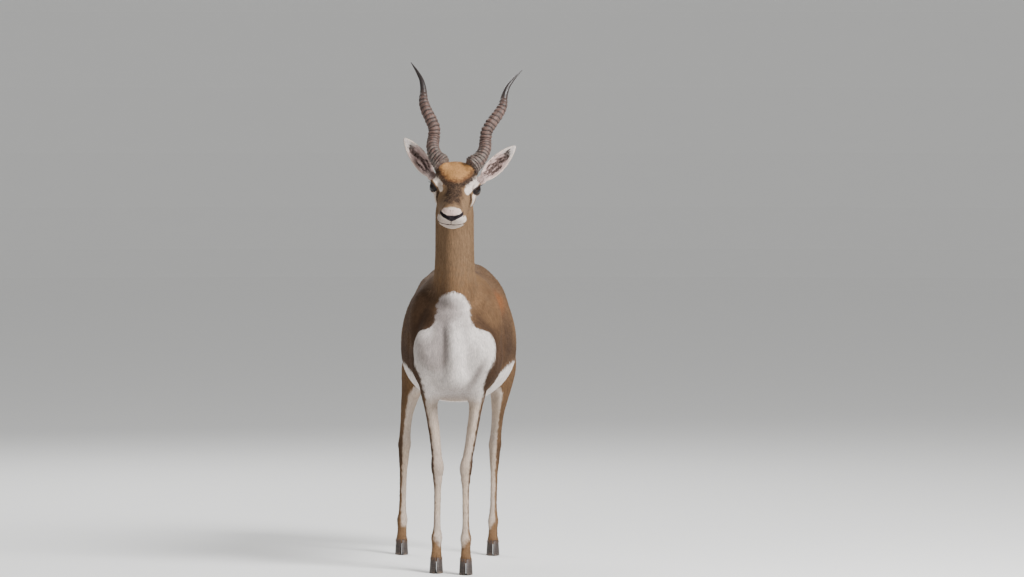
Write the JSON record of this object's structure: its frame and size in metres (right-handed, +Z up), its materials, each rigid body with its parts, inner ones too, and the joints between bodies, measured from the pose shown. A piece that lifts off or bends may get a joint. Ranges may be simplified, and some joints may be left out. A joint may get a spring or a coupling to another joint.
{
  "type": "blackbuck",
  "caption": "Life-size standing blackbuck, a young male with ringed spiral horns, cupped ears, a slim raised neck, tan and white coat and cloven hooves, for display.",
  "frame": {"origin": "middle of the bounding box, on the floor", "axes": "+Z up, the animal faces -Y, and its left side is at +X"},
  "size_m": [0.3306, 1.014, 1.279],
  "materials": {
    "coat_body": "short tan-brown fur over the back and sides, white on the chest, belly and inner thighs",
    "coat_neck": "short fawn-brown fur, with the top of the white chest wedge",
    "coat_face": "very short fur, golden forehead, dark nose bridge, white brow and eye patches, white lips and chin, dark bare nose",
    "coat_leg": "short fur, tan outside and white inside, reddish at the fetlocks",
    "coat_ear": "brown back, cream rim, pale pink inside with streaks of longer hair",
    "horn": "ringed horn keratin, grey-tan and flaky at the base, brown on the rings, smooth black tip",
    "hoof": "dark, faintly satin hoof keratin",
    "eye": "wet, very dark brown eye"
  },
  "bodies": {
    "root": {"head": "coat_face", "neck": "coat_neck", "torso": "coat_body", "tail": "coat_body", "ear_left": "coat_ear", "ear_right": "coat_ear", "eye_left": "eye", "eye_right": "eye", "horn_left": "horn", "horn_right": "horn", "foreleg_left_upper": "coat_leg", "foreleg_right_upper": "coat_leg", "foreleg_left_lower": "coat_leg", "foreleg_right_lower": "coat_leg", "hindleg_left_upper": "coat_leg", "hindleg_right_upper": "coat_leg", "hindleg_left_lower": "coat_leg", "hindleg_right_lower": "coat_leg", "hoof_fore_left": "hoof", "hoof_fore_right": "hoof", "hoof_hind_left": "hoof", "hoof_hind_right": "hoof"}
  },
  "joints": []
}
